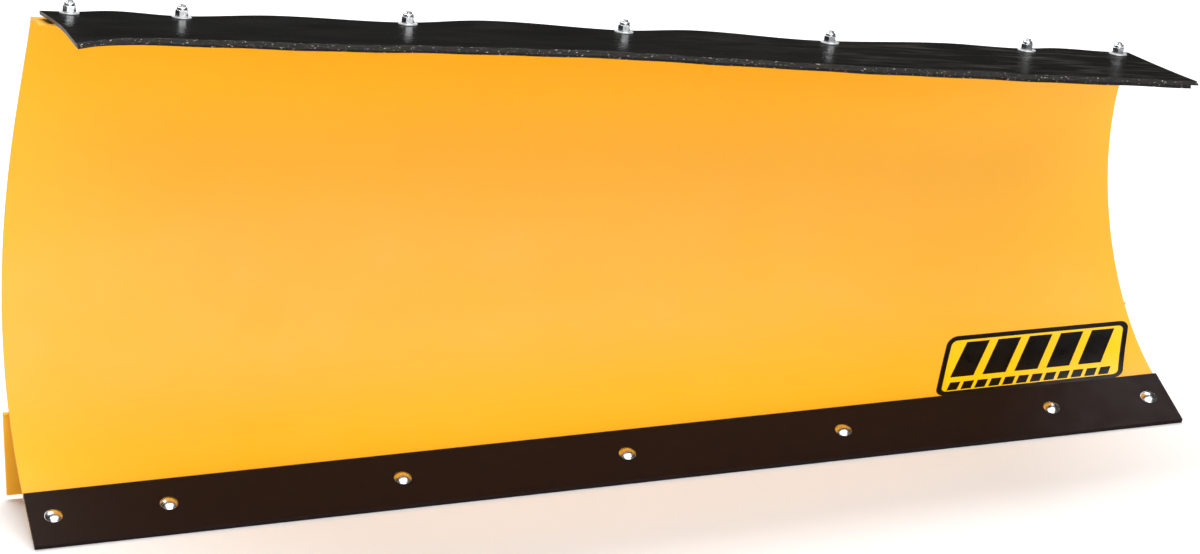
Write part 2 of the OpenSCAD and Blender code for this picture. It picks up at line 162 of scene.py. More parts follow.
def sheet_profile(side):
    """Points and headings of the sheet's front face, lower edge to flange, and the crown's share."""
    lap = np.linspace(LOWER_GAP, FLAT_H, LAP_STEPS, endpoint=False)
    roll = np.linspace(ATTACK, TOP_HEADING[side], ROLL_STEPS, endpoint=False)
    fold = np.linspace(TOP_HEADING[side], FLANGE_HEADING[side], FOLD_STEPS, endpoint=False)
    flange = np.linspace(0, FLANGE_D, FLANGE_STEPS)
    last = FLANGE_HEADING[side]
    points = np.concatenate([
        bar_point(lap, BAR_T + SEAT_GAP), roll_point(side, roll), fold_point(side, fold),
        fold_point(side, last) + np.multiply.outer(flange, across(last))])
    headings = np.concatenate([np.full(LAP_STEPS, ATTACK), roll, fold, np.full(FLANGE_STEPS, last)])
    share = np.concatenate([
        np.zeros(LAP_STEPS), np.linspace(0, 1, ROLL_STEPS, endpoint=False) ** 2,
        np.ones(FOLD_STEPS + FLANGE_STEPS)])
    return points, headings, share


def trim_x(h):
    w = np.clip((h - ATTACK) / TRIM_SPAN, 0, TRIM_LIMIT)
    return -HALF_W + END_TRIM * np.sin(np.pi / 2 * w ** TRIM_POWER) ** 2


def crown_at(x):
    reach = np.clip(np.abs(np.asarray(x) - CROWN_X) / CROWN_REACH, 0, 1)
    return CROWN * np.cos(np.pi / 2 * reach) ** 2


def row_point(x, y, z):
    return metres(np.stack(np.broadcast_arrays(x, y - Y_MID, z), axis=-1))


def sheet_face(us, d):
    """Grid of points d behind the sheet's front face, one row for each share u along the blade."""
    high, heading, share = sheet_profile(0)
    low, low_heading, _ = sheet_profile(1)
    high = high + d * behind(heading)
    low = low + d * behind(low_heading)
    start = trim_x(heading)
    rows = []
    for u in us:
        x = lerp(start, HALF_W, u)
        y, z = lerp(high, low, u).T
        rows.append(row_point(x, y, z + share * crown_at(x)))
    return np.array(rows)


def sheet_at(x, k, d):
    """Point(s) d behind the sheet's front face at x and at share(s) k of the roll."""
    k = np.asarray(k, float)
    start = trim_x(lerp(ATTACK, TOP_HEADING[0], k))
    u = (x - start) / (HALF_W - start)
    sides = [roll_point(s, lerp(ATTACK, TOP_HEADING[s], k))
             + d * behind(lerp(ATTACK, TOP_HEADING[s], k)) for s in (0, 1)]
    y, z = (sides[0] + (sides[1] - sides[0]) * u[..., None]).T
    return row_point(x, y, z + k ** 2 * crown_at(x))


def flange_point(x, s, d):
    """Point on the flange at x, s in front of the fold and d above its underside."""
    ends = [fold_point(k, FLANGE_HEADING[k]) + s * across(FLANGE_HEADING[k])
            + d * behind(FLANGE_HEADING[k]) for k in (0, 1)]
    start = trim_x(TOP_HEADING[0])
    y, z = lerp(ends[0], ends[1], (x - start) / (HALF_W - start))
    return np.array([y, z + crown_at(x)])


# ---- meshes

def add_object(name, mesh, body="blade"):
    obj = bpy.data.objects.new(name, mesh)
    bpy.context.scene.collection.objects.link(obj)
    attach(obj, body)
    return obj


def mesh_object(name, points, faces, sharp=35):
    """Closed mesh from points in metres, smooth but for edges sharper than sharp degrees."""
    mesh = bpy.data.meshes.new(name)
    mesh.from_pydata([tuple(p) for p in points], [], faces)
    work = bmesh.new()
    work.from_mesh(mesh)
    bmesh.ops.recalc_face_normals(work, faces=work.faces)
    work.to_mesh(mesh)
    work.free()
    mesh.shade_smooth()
    mesh.set_sharp_from_angle(angle=math.radians(sharp))
    return add_object(name, mesh)


def loft(name, sections, paired):
    """Closed sheet through closed sections: paired points of one face, those of its front edge,
    and paired points of the other face in reverse."""
    count, size = len(sections), len(sections[0])
    faces = [[i * size + j, (i + 1) * size + j, (i + 1) * size + (j + 1) % size,
              i * size + (j + 1) % size] for i in range(count - 1) for j in range(size)]
    for base in (0, (count - 1) * size):
        faces += [[base + j, base + j + 1, base + size - 2 - j, base + size - 1 - j]
                  for j in range(paired - 1)]
        edge = list(range(base + paired - 1, base + size - paired + 1))
        if len(edge) > 2:
            faces.append(edge)
    return mesh_object(name, np.concatenate(sections), faces)


def grid_shell(name, front, back):
    """Closed sheet between two grids of points."""
    return loft(name, [np.concatenate([a, b[::-1]]) for a, b in zip(front, back)], front.shape[1])


def join(name, parts):
    """Points and faces of several meshes as one object."""
    points, faces, base = [], [], 0
    for p, f in parts:
        points.append(p)
        faces += [[i + base for i in face] for face in f]
        base += len(p)
    return mesh_object(name, np.concatenate(points), faces)


def rings_mesh(rings, closed):
    """Mesh through rings of points; closed joins the last ring to the first, or else both are capped."""
    count, size = len(rings), len(rings[0])
    last = count if closed else count - 1
    faces = [[i * size + j, i * size + (j + 1) % size, (i + 1) % count * size + (j + 1) % size,
              (i + 1) % count * size + j] for i in range(last) for j in range(size)]
    if not closed:
        faces += [list(range(size)), list(range((count - 1) * size, count * size))]
    return np.concatenate(rings), faces


def soften(obj, width, segments=2, angle=35):
    """Rounds the sharp edges by width, in millimetres."""
    weld = obj.modifiers.new("join", "WELD")
    weld.merge_threshold = 1e-6
    bevel = obj.modifiers.new("soften", "BEVEL")
    bevel.width = width / 1000
    bevel.segments = segments
    bevel.limit_method = "ANGLE"
    bevel.angle_limit = math.radians(angle)
    bevel.use_clamp_overlap = True
    bevel.harden_normals = True
    return obj


# ---- materials

class Finish:
    """A node material: one Principled shader and the textures that feed it."""

    def __init__(self, name, color, roughness, metallic=0.0, **inputs):
        self.material = bpy.data.materials.new(name)
        self.material.use_nodes = True
        self.tree = self.material.node_tree
        self.shader = self.tree.nodes["Principled BSDF"]
        self.shader.inputs["Base Color"].default_value = (*color, 1)
        self.shader.inputs["Roughness"].default_value = roughness
        self.shader.inputs["Metallic"].default_value = metallic
        for key, value in inputs.items():
            self.shader.inputs[key.replace("_", " ")].default_value = value
        self.coords = self.node("ShaderNodeTexCoord").outputs["Object"]

    def node(self, kind, **settings):
        node = self.tree.nodes.new(kind)
        for key, value in settings.items():
            setattr(node, key, value)
        return node

    def link(self, source, target):
        self.tree.links.new(source, target)

    def noise(self, scale, detail=2.0, stretch=(1, 1, 1)):
        """Noise with about scale bumps to the metre."""
        mapping = self.node("ShaderNodeMapping")
        mapping.inputs["Scale"].default_value = stretch
        self.link(self.coords, mapping.inputs["Vector"])
        noise = self.node("ShaderNodeTexNoise")
        noise.inputs["Scale"].default_value = scale
        noise.inputs["Detail"].default_value = detail
        self.link(mapping.outputs[0], noise.inputs["Vector"])
        return noise.outputs["Fac"]

    def spread(self, source, low, high, to_low=0.0, to_high=1.0):
        """source from low..high onto to_low..to_high."""
        node = self.node("ShaderNodeMapRange")
        for key, value in zip(("From Min", "From Max", "To Min", "To Max"),
                              (low, high, to_low, to_high)):
            node.inputs[key].default_value = value
        self.link(source, node.inputs["Value"])
        return node.outputs[0]

    def along(self, axis, low, high):
        """0 to 1 from low to high metres along an axis, 0 to 2 for X to Z."""
        split = self.node("ShaderNodeSeparateXYZ")
        self.link(self.coords, split.inputs[0])
        return self.spread(split.outputs[axis], low, high)

    def times(self, a, b):
        node = self.node("ShaderNodeMath", operation="MULTIPLY")
        self.link(a, node.inputs[0])
        self.link(b, node.inputs[1])
        return node.outputs[0]

    def tint(self, source, color):
        """Mixes color into the base colour by source."""
        mix = self.node("ShaderNodeMix", data_type="RGBA")
        base = self.shader.inputs["Base Color"]
        factor, a, b = (mix.inputs[i] for i in (0, 6, 7))
        if base.is_linked:
            self.link(base.links[0].from_socket, a)
        else:
            a.default_value = base.default_value
        b.default_value = (*color, 1)
        self.link(source, factor)
        self.link(mix.outputs[2], base)
        return self

    def gloss(self, source):
        self.link(source, self.shader.inputs["Roughness"])
        return self

    def bump(self, source, height):
        """Bump of that height in millimetres."""
        bump = self.node("ShaderNodeBump")
        bump.inputs["Distance"].default_value = height / 1000
        self.link(source, bump.inputs["Height"])
        normal = self.shader.inputs["Normal"]
        if normal.is_linked:
            self.link(normal.links[0].from_socket, bump.inputs["Normal"])
        self.link(bump.outputs[0], normal)
        return self


def yellow_paint():
    f = Finish("yellow_paint", (0.93, 0.44, 0.010), 0.45)
    f.tint(f.spread(f.noise(2.2, 3), 0.35, 0.7), (0.91, 0.425, 0.010))
    f.tint(f.spread(f.noise(900, 2), 0.55, 0.75, 0, 0.12), (1.0, 0.52, 0.03))
    f.gloss(f.spread(f.noise(14, 4), 0.3, 0.7, 0.42, 0.52))
    f.bump(f.noise(420, 2), 0.035)
    f.bump(f.noise(2200, 1), 0.008)
    return f.material


def bar_paint():
    f = Finish("bar_paint", (0.0105, 0.0046, 0.0042), 0.55, Specular_IOR_Level=0.1)
    f.tint(f.spread(f.noise(5, 4, (1, 3, 3)), 0.45, 0.75, 0, 0.5), (0.013, 0.0065, 0.0055))
    f.tint(f.spread(f.noise(1400, 2), 0.62, 0.8, 0, 0.4), (0.03, 0.024, 0.02))
    f.gloss(f.spread(f.noise(40, 4), 0.3, 0.7, 0.42, 0.56))
    f.bump(f.noise(600, 3), 0.05)
    return f.material


def zinc_plate():
    f = Finish("zinc_plate", (0.72, 0.735, 0.75), 0.2, 1.0)
    f.tint(f.spread(f.noise(90, 4), 0.45, 0.75, 0, 0.6), (0.6, 0.61, 0.63))
    f.gloss(f.spread(f.noise(160, 4), 0.3, 0.7, 0.2, 0.32))
    f.bump(f.noise(1500, 3), 0.01)
    return f.material


def flat_washer():
    f = Finish("flat_washer", (0.8, 0.81, 0.82), 0.35, 0.45)
    f.tint(f.spread(f.noise(120, 4), 0.45, 0.75, 0, 0.6), (0.68, 0.69, 0.7))
    f.gloss(f.spread(f.noise(200, 4), 0.3, 0.7, 0.28, 0.42))
    f.bump(f.noise(1500, 3), 0.01)
    return f.material


def rubber_belting():
    f = Finish("rubber_belting", (0.003, 0.0025, 0.0022), 0.3, Specular_IOR_Level=0.06)
    scuffed = f.along(0, 0.05, 0.55)
    f.tint(f.spread(f.noise(30, 5, (0.25, 1, 1)), 0.5, 0.8, 0, 0.5), (0.014, 0.012, 0.010))
    f.tint(f.spread(f.noise(420, 3), 0.68, 0.8, 0, 0.5), (0.05, 0.048, 0.045))
    f.tint(f.times(scuffed, f.spread(f.noise(55, 6, (0.2, 1.3, 1)), 0.5, 0.72, 0, 0.6)),
           (0.06, 0.057, 0.05))
    f.gloss(f.spread(f.noise(22, 5, (0.4, 1, 1)), 0.3, 0.7, 0.22, 0.34))
    f.bump(f.times(scuffed, f.noise(140, 5, (0.35, 1.2, 1))), 0.7)
    f.bump(f.noise(160, 4, (0.4, 1, 1)), 0.14)
    f.bump(f.noise(1100, 2), 0.02)
    return f.material


def cut_belting():
    f = Finish("cut_belting", (0.012, 0.0105, 0.009), 0.8, Specular_IOR_Level=0.2)
    f.tint(f.spread(f.noise(260, 4, (0.4, 1, 1)), 0.45, 0.7), (0.024, 0.021, 0.018))
    f.tint(f.spread(f.noise(520, 2, (0.5, 1, 1)), 0.665, 0.7), (0.4, 0.37, 0.33))
    f.bump(f.noise(380, 4, (0.4, 1, 1)), 0.5)
    return f.material


def nylon():
    f = Finish("nylon", (0.62, 0.63, 0.6), 0.35, Subsurface_Weight=0.2)
    f.gloss(f.spread(f.noise(300, 2), 0.3, 0.7, 0.3, 0.45))
    f.bump(f.noise(900, 2), 0.02)
    return f.material


def bare_cast():
    f = Finish("bare_cast", (0.022, 0.021, 0.020), 0.55)
    f.tint(f.spread(f.noise(40, 5), 0.5, 0.75, 0, 0.7), (0.045, 0.04, 0.036))
    f.gloss(f.spread(f.noise(80, 4), 0.3, 0.7, 0.42, 0.68))
    f.bump(f.noise(350, 4), 0.28)
    return f.material


def decal_film():
    f = Finish("decal_film", (0.0035, 0.0022, 0.0018), 0.3, Specular_IOR_Level=0.15)
    f.gloss(f.spread(f.noise(60, 3), 0.3, 0.7, 0.26, 0.4))
    f.bump(f.noise(300, 2), 0.01)
    return f.material


def decal_yellow():
    f = Finish("decal_yellow", (0.98, 0.56, 0.001), 0.3)
    f.gloss(f.spread(f.noise(60, 3), 0.3, 0.7, 0.26, 0.4))
    f.bump(f.noise(300, 2), 0.01)
    return f.material


FINISHES = {f.__name__: f() for f in (
    yellow_paint, bar_paint, zinc_plate, flat_washer, rubber_belting, cut_belting, nylon, bare_cast,
    decal_film, decal_yellow)}


def paint(obj, slot, finish=None):
    obj.data.materials.clear()
    obj.data.materials.append(FINISHES[finish or slot])
    return obj


# ---- moldboard and flap

SHEET_ROWS = 121
SHEET_EDGE = 0.9


def moldboard():
    us = np.linspace(0, 1, SHEET_ROWS)
    obj = grid_shell("moldboard_sheet", sheet_face(us, 0), sheet_face(us, SHEET_T))
    soften(obj, SHEET_EDGE)
    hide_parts("moldboard")
    return paint(obj, "yellow_paint")


FLAP_COLUMNS = 66
FLAP_ROWS = 281
CUT_COLUMNS = 5
UPPER_CUT = 6.5
# How far the lower ply's front edge stands behind the upper ply's, along the blade
LOWER_SETBACK = ((0, 20), (0.05, 10), (0.7, 8), (1, 3))
# Buckles of the rubber between the bolts: height, and where each is highest
BUCKLES = ((3.0, 0.42), (4.6, 0.42), (4.9, 0.38), (5.2, 0.38), (3.2, 0.6), (2.2, 0.42))
BUCKLE_REACH = 60
FRONT_REACH = FLAP_W - 60       # depth of the front part of the flap, which bends on its own
FRONT_RISE = 5.2
FRONT_RAMPS = (0.06, 0.6)       # shares of the length over which that rise starts and ends
RIPPLE_RISE = 0.5
CORNER_DROP = 5.4               # the front corner at the high end hangs
CORNER_SIZE = (48, 88)
CUT_GRAIN = 0.00022             # in metres
FLAP_SEED = 7


def flap_line(side, s):
    """Points and headings of the flap's underside at distances s from its back edge."""
    free = FLANGE_D - FLAP_START
    fine = np.linspace(0, FLAP_W, 400)

    def heading(s):
        bend = np.clip((s - free) / (FLAP_W - free), 0, 1)
        return lerp(FLANGE_HEADING[side], FLAP_END_HEADING[side], bend)

    steps = across(heading((fine[1:] + fine[:-1]) / 2)) * fine[1]
    walk = np.concatenate([[[0, 0]], np.cumsum(steps, axis=0)])
    start = flange_point(FLAP_X_BACK[side], FLAP_START, SHEET_T) - [0, crown_at(FLAP_X_BACK[side])]
    points = np.stack([np.interp(s, fine, walk[:, i]) for i in (0, 1)], axis=-1)
    return start + points, heading(s)


def flange_bolt_x():
    first, last = BOLT_PITCH[0], BOLT_PITCH[-1]
    return [lerp(*FLANGE_BOLT_END, (p - first) / (last - first)) for p in BOLT_PITCH]


def flap_lift(x, s):
    """How far the rubber stands off its ideal line at x, s from its back edge."""
    lift = np.zeros_like(x)
    bolts = flange_bolt_x()
    for left, right, (height, peak) in zip(bolts, bolts[1:], BUCKLES):
        g = np.clip((x - left) / (right - left), 0, 1)
        warped = np.where(g < peak, g / peak / 2, 0.5 + (g - peak) / (1 - peak) / 2)
        lift = lift + height * np.sin(np.pi * warped) ** 2 * smooth(1 - s / BUCKLE_REACH)
    u = (x - FLAP_X_FRONT[0]) / (FLAP_X_FRONT[1] - FLAP_X_FRONT[0])
    from_edge = FLAP_W - s
    front = smooth(1 - from_edge / FRONT_REACH)
    lift = lift + FRONT_RISE * smooth(u / FRONT_RAMPS[0]) * smooth((1 - u) / FRONT_RAMPS[1]) * front
    lift = lift + RIPPLE_RISE * np.sin(x / 61) * np.sin(x / 23 + 1) * front
    corner = np.clip(1 - (x - FLAP_X_FRONT[0]) / CORNER_SIZE[0], 0, 1) ** 2
    return lift - CORNER_DROP * corner * smooth(1 - from_edge / CORNER_SIZE[1])


def flap_face(bottom, inset, s, setback):
    """Grid of points, bottom above the flap's underside and at distances s from its back edge."""
    rows = []
    for u in np.linspace(0, 1, FLAP_ROWS):
        drawn = s * (1 - np.interp(u, *np.transpose(setback)) / FLAP_W)
        lines = [flap_line(side, drawn) for side in (0, 1)]
        ends = [lerp(FLAP_X_BACK[side], FLAP_X_FRONT[side], drawn / FLAP_W) for side in (0, 1)]
        sides = [points + np.multiply(bottom, behind(headings).T).T for points, headings in lines]
        x = lerp(ends[0] + inset[0], ends[1] - inset[1], u)
        share = (x - ends[0]) / (ends[1] - ends[0])
        y, z = (sides[0] + (sides[1] - sides[0]) * share[:, None]).T
        rows.append(row_point(x, y, z + crown_at(x) + flap_lift(x, drawn)))
    return np.array(rows)


def flap_ply(name, node, bottom, inset, setback, cut):
    """One ply of the flap. cut is how far its upper front edge stands behind its lower one."""
    lower = flap_face(np.full(FLAP_COLUMNS, bottom), inset,
                      np.linspace(0, FLAP_W, FLAP_COLUMNS), setback)
    upper = flap_face(np.full(FLAP_COLUMNS, bottom + PLY_T), inset,
                      np.linspace(0, FLAP_W - cut, FLAP_COLUMNS), setback)
    rise = np.linspace(0, 1, CUT_COLUMNS + 2)[1:-1]
    front = flap_face(bottom + PLY_T * rise, inset, FLAP_W - cut * rise, setback)
    rng = np.random.default_rng(FLAP_SEED)
    front[1:-1] += rng.normal(0, CUT_GRAIN, front[1:-1].shape)
    sections = [np.concatenate(parts) for parts in zip(lower, front, upper[:, ::-1])]
    obj = loft(name, sections, FLAP_COLUMNS)
    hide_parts(node)
    paint(obj, "rubber_belting")
    obj.data.materials.append(FINISHES["cut_belting"])
    size = len(sections[0])
    cut_from, cut_to = FLAP_COLUMNS - 1, FLAP_COLUMNS + CUT_COLUMNS
    for face in obj.data.polygons:
        if all(cut_from <= v % size <= cut_to for v in face.vertices):
            face.material_index = 1
    return obj


# ---- fasteners

BAR_NUT_H = 8.3
FLANGE_BOLT_L = 29
FLANGE_HEAD_H = 6
CARRIAGE_BOLT_L = 19.05
HEAD_RADII = (10.95, 10.7, 10.3, 9.6, 8.6, 7.4, 6, 4.5, 3, 1.5, 0.3)
SIDES = 48
TURN = np.arange(SIDES) * 2 * np.pi / SIDES


def circle(r, z):
    """Ring of radius r at height z; r is a number or one radius for each of its points."""
    return np.stack(np.broadcast_arrays(r * np.cos(TURN), r * np.sin(TURN), z), axis=-1)


def hexagon(af):
    return af / 2 / np.cos(TURN % (np.pi / 3) - np.pi / 6)


def square(w):
    return w / 2 / np.maximum(np.abs(np.cos(TURN)), np.abs(np.sin(TURN)))


def thread(bottom, top):
    """Rings of a right-hand thread with a chamfered start at the lower end."""
    rings = []
    for z in np.arange(bottom, top, THREAD_PITCH / 6):
        phase = (z / THREAD_PITCH - TURN / (2 * np.pi)) % 1
        groove = THREAD_DEPTH * (1 - np.abs(2 * phase - 1))
        fade = smooth((top - z) / (2 * THREAD_PITCH))
        rings.append(circle(np.minimum(BOLT_R - groove * fade, BOLT_R - 1.1 + (z - bottom)), z))
    return rings


def hex_rings(af, bottom, top, chamfer=0.8):
    """Rings up the outside of a hexagon whose corners are chamfered at both ends."""
    face = 0.95 * af / 2
    cone = np.linspace(0, chamfer, 5)
    rings = [circle(np.minimum(hexagon(af), face + c * 1.9), bottom + c) for c in cone]
    return rings + [circle(np.minimum(hexagon(af), face + c * 1.9), top - c) for c in cone[::-1]]


def lock_nut():
    collar, crown = NUT_AF / 2 - 0.3, 11.6
    arc = np.radians(np.linspace(0, 80, 6))
    rings = hex_rings(NUT_AF, 0, 8.2)
    rings += [circle(collar - 0.5, 8.2), circle(collar - 0.1, 8.6), circle(collar - 0.1, 10)]
    rings += [circle(collar - 0.1 - 1.5 * (1 - math.cos(a)), crown - 1.6 + 1.6 * math.sin(a))
              for a in arc]
    rings += [circle(BORE_R + 0.3, crown), circle(BORE_R, crown - 0.3), circle(BORE_R, 10.8),
              circle(6.16, 10.8), circle(6.16, 8.6), circle(BORE_R, 8.6), circle(BORE_R, 0.4),
              circle(BORE_R + 0.4, 0)]
    return rings_mesh(rings, closed=True)


def flange_nut():
    """Nut of the wear bar, its flange against the sheet at z = BAR_NUT_H."""
    rings = hex_rings(NUT_AF, 0, 6.7)[:-1]
    rings += [circle(7.9, 6.5), circle(10.0, 7.2), circle(10.2, 7.6),
              circle(10.2, BAR_NUT_H - 0.2), circle(10.0, BAR_NUT_H),
              circle(BORE_R + 0.4, BAR_NUT_H), circle(BORE_R, BAR_NUT_H - 0.4),
              circle(BORE_R, 0.4), circle(BORE_R + 0.4, 0)]
    return rings_mesh(rings, closed=True)


def hex_bolt(length, head):
    rings = [ring * (1, 1, -1) for ring in thread(-length, -length + 20)]
    rings += [circle(BOLT_R, -0.1)]
    rings += [ring * (1, 1, -1) for ring in hex_rings(NUT_AF, 0.1, head + 0.1)]
    return rings_mesh(rings, closed=False)


def carriage_bolt(length):
    head_r, head_h = 11, 5
    ball = (head_r ** 2 + head_h ** 2) / (2 * head_h)
    rings = thread(-length, -length + 12)
    rings += [circle(BOLT_R, -5.4), circle(square(9.4), -5.2), circle(square(9.4), 0),
              circle(head_r - 0.4, 0), circle(head_r, 0.25)]
    for r in HEAD_RADII:
        rings.append(circle(r, max(head_h - ball + math.sqrt(ball ** 2 - r ** 2), 0.3)))
    return rings_mesh(rings, closed=False)


def placed(mesh, frames):
    """Copies of a mesh in millimetres, one in each frame."""
    points, faces = mesh
    return [((points @ turn.T + place) / 1000, faces) for turn, place in frames]


def turn_x(degrees):
    c, s = math.cos(math.radians(degrees)), math.sin(math.radians(degrees))
    return np.array([[1, 0, 0], [0, c, -s], [0, s, c]])


def turn_y(degrees):
    c, s = math.cos(math.radians(degrees)), math.sin(math.radians(degrees))
    return np.array([[c, 0, s], [0, 1, 0], [-s, 0, c]])


def shifted(frames, rise):
    return [(turn, place + turn @ np.array([0, 0, rise])) for turn, place in frames]


def flange_frames():
    """Frames of the flange's bolts, Z pointing up from the flange's underside."""
    frames = []
    start = trim_x(TOP_HEADING[0])
    for x in flange_bolt_x():
        y, z = flange_point(x, FLANGE_BOLT_D, 0)
        ahead, after = (flange_point(x + step, FLANGE_BOLT_D, 0)[1] for step in (-1, 1))
        slope = math.degrees(math.atan((ahead - after) / 2))
        heading = lerp(*FLANGE_HEADING, (x - start) / (HALF_W - start))
        frames.append((turn_y(slope) @ turn_x(heading - 180), np.array([x, y - Y_MID, z])))
    return frames


def bar_frames():
    """Frames of the wear bar's bolts, Z pointing out of its front face."""
    y, z = bar_point(BAR_BOLT_H, 0)
    return [(turn_x(ATTACK), np.array([x, y - Y_MID, z])) for x in BOLT_PITCH]


def fasteners():
    flap_top = SHEET_T + 2 * (PLY_T + SEAT_GAP) + WASHER_LIFT + WASHER_T
    bar_back = -BAR_T - SHEET_T - 2 * SEAT_GAP
    sets = (
        ("flap_bolt_set", "flap_bolts", hex_bolt(FLANGE_BOLT_L, FLANGE_HEAD_H), flange_frames()),
        ("lock_nut_set", "flap_nuts", lock_nut(), shifted(flange_frames(), flap_top)),
        ("carriage_bolt_set", "bar_bolts", carriage_bolt(CARRIAGE_BOLT_L), bar_frames()),
        ("flange_nut_set", "bar_nuts", flange_nut(), shifted(bar_frames(), bar_back - BAR_NUT_H)))
    for name, node, mesh, frames in sets:
        obj = join(name, placed(mesh, frames))
        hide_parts(node)
        paint(obj, "zinc_plate")


# ---- welds

BEAD_STEP = 1.0         # spacing of a bead's rings along its run
RIPPLE = 2.6
BEAD_SIDES = 8
RIB_STITCH, RIB_PITCH = 0.04, 0.095
TAB_T = 0.00635
# How far beads stand off the corner that they fill
SIDE_GAP = 0.4
EAR_T = 8


def bead(run, radius):
    """Rippled bead along a run of points in metres."""
    run = np.asarray(run)
    spans = np.linalg.norm(np.diff(run, axis=0), axis=1)
    walked = np.concatenate([[0], np.cumsum(spans)])
    length = walked[-1]
    s = np.linspace(0, length, max(4, int(length * 1000 / BEAD_STEP)))
    centre = np.stack([np.interp(s, walked, run[:, i]) for i in range(3)], axis=-1)
    ahead = np.gradient(centre, axis=0)
    ahead /= np.linalg.norm(ahead, axis=1)[:, None]
    guide = np.array([0, 0, 1.0]) if abs(ahead[0][2]) < 0.8 else np.array([1.0, 0, 0])
    side = np.cross(ahead, guide)
    side /= np.linalg.norm(side, axis=1)[:, None]
    rise = np.cross(side, ahead)
    edge = np.minimum(s, length - s) / (radius * 1.4)
    size = radius * np.sqrt(1 - (1 - np.clip(edge, 0.05, 1)) ** 2)
    size = size * (0.9 + 0.16 * np.abs(np.sin(np.pi * s * 1000 / RIPPLE)))
    rings = [centre + size[:, None] * (math.cos(a) * side + math.sin(a) * rise)
             for a in np.arange(BEAD_SIDES) * 2 * math.pi / BEAD_SIDES]
    return rings_mesh(list(np.swapaxes(rings, 0, 1)), closed=False)


def stitches(start, end, stitch=38, pitch=90):
    """Runs of stitch mm, pitch mm apart, on the line from start to end in metres."""
    start, end = np.asarray(start), np.asarray(end)
    length = np.linalg.norm(end - start) * 1000
    count = max(1, int((length - stitch) // pitch) + 1)
    stitch = min(stitch, length)
    gap = (length - stitch) / max(1, count - 1) if count > 1 else 0
    firsts = [i * gap for i in range(count)] if count > 1 else [(length - stitch) / 2]
    return [[start + (end - start) * t / length for t in (f, f + stitch)] for f in firsts]


def weld(name, runs, radius=2.2):
    """Beads of one radius in millimetres along all runs."""
    return paint(join(name, [bead(run, radius / 1000) for run in runs]), "yellow_paint")


def rib_runs():
    runs = []
    for index, x in enumerate(RIB_X):
        low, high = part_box(RIB_NODES[index])
        ks = np.linspace(0, 1, 400)
        for edge in (-1, 1):
            at = sheet_at(x + edge * (RIB_T / 2 + SIDE_GAP), ks, SHEET_T + 0.3)
            inside = (at[:, 2] > low[2] + 0.004) & (at[:, 2] < high[2] - 0.004)
            path = at[inside]
            walked = np.concatenate([[0], np.cumsum(np.linalg.norm(np.diff(path, axis=0), axis=1))])
            for first in np.arange(0, walked[-1] - RIB_STITCH, RIB_PITCH):
                runs.append(path[(walked >= first) & (walked <= first + RIB_STITCH)])
    return runs


def web_point(x, z, out=0.0):
    """Point on the back of the lower angle's web, in metres."""
    sides = [lerp(foot[0], head[0], (z - foot[1]) / (head[1] - foot[1]))
             for foot, head in zip(ANGLE_FOOT, ANGLE_HEAD)]
    y = lerp(sides[0], sides[1], (x - ANGLE_X[0]) / (ANGLE_X[1] - ANGLE_X[0]))
    return row_point(x, y + out, z)


def round_run(centre, radius, z):
    turns = np.linspace(0, 2 * np.pi, 60)
    return np.stack([centre[0] + radius * np.cos(turns), centre[1] + radius * np.sin(turns),
                     np.full(60, z)], axis=-1)


def angle_runs():
    ends = [row_point(x, head[0] - ANGLE_LIP, head[1] + 0.4) for x, head in zip(ANGLE_X, ANGLE_HEAD)]
    inner = [lerp(ends[0], ends[1], u) for u in (0.012, 0.988)]
    return stitches(*inner, stitch=42, pitch=150)


def pivot_runs():
    low, high = (np.array(corner) * 1000 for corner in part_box("pivot_plate"))
    runs = []
    for z in (low[2], high[2]):
        runs += stitches(web_point(low[0] + 4, z, 0.8), web_point(high[0] - 4, z, 0.8), 50, 120)
    for x in (low[0] - SIDE_GAP, high[0] + SIDE_GAP):
        runs += stitches(web_point(x, low[2] + 3, 0.8), web_point(x, high[2] - 3, 0.8), 84, 90)
    for node in ("pivot_ears_high", "pivot_ears_low"):
        left, right = (corner[0] * 1000 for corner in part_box(node))
        inner = EAR_T + SIDE_GAP
        for x in (left - SIDE_GAP, left + inner, right - inner, right + SIDE_GAP):
            runs.append([web_point(x, 22, 7.4), web_point(x, 98, 7.4)])
    return runs


def shoe_runs():
    runs = []
    for side in ("high", "low"):
        left, right = (np.array(corner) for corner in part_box("shoe_bracket_" + side))
        for x in (left[0] * 1000 - 0.3, right[0] * 1000 + 0.3):
            runs.append([web_point(x, 35, 0.9), web_point(x, 89, 0.9)])
        top = (web_point(x, 91.3, 0.9) for x in (left[0] * 1000 + 3, right[0] * 1000 - 3))
        runs.append(list(top))
        low, high = (np.array(corner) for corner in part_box("shoe_socket_" + side))
        centre, radius = (low + high) / 2, (high[0] - low[0]) / 2
        for z in (right[2] + 0.0004, left[2] - 0.0004):
            runs.append(round_run(centre, radius + 0.0003, z))
    return runs


def rail_runs():
    low, high = (np.array(corner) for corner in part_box("spring_rail"))
    start = (low[0] + 0.01, low[1], low[2] - 0.0003)
    end = (high[0] - 0.01, low[1], low[2] - 0.0003)
    runs = stitches(start, end, 34, 80)
    tab_low, tab_high = (np.array(corner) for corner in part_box("spring_tabs"))
    foot_z = low[2] + 0.0051
    for x in (tab_low[0], tab_low[0] + TAB_T, tab_high[0] - TAB_T, tab_high[0]):
        runs.append([(x, tab_low[1] + 0.002, foot_z), (x, tab_low[1] + 0.018, foot_z)])
    for x in (low[0], high[0]):
        runs.append([(x, low[1] + 0.006, low[2] - 0.0002), (x, high[1] - 0.006, low[2] - 0.0002)])
    return runs


# ---- decal

def decal_point(a, b, d):
    """Point on the sheet at shares a along the decal and b up it, d in front of the sheet."""
    x = lerp(*DECAL_X, a) + lerp(*DECAL_LEAN, a) * b
    return sheet_at(x, b * lerp(*DECAL_TOP, a), -d)


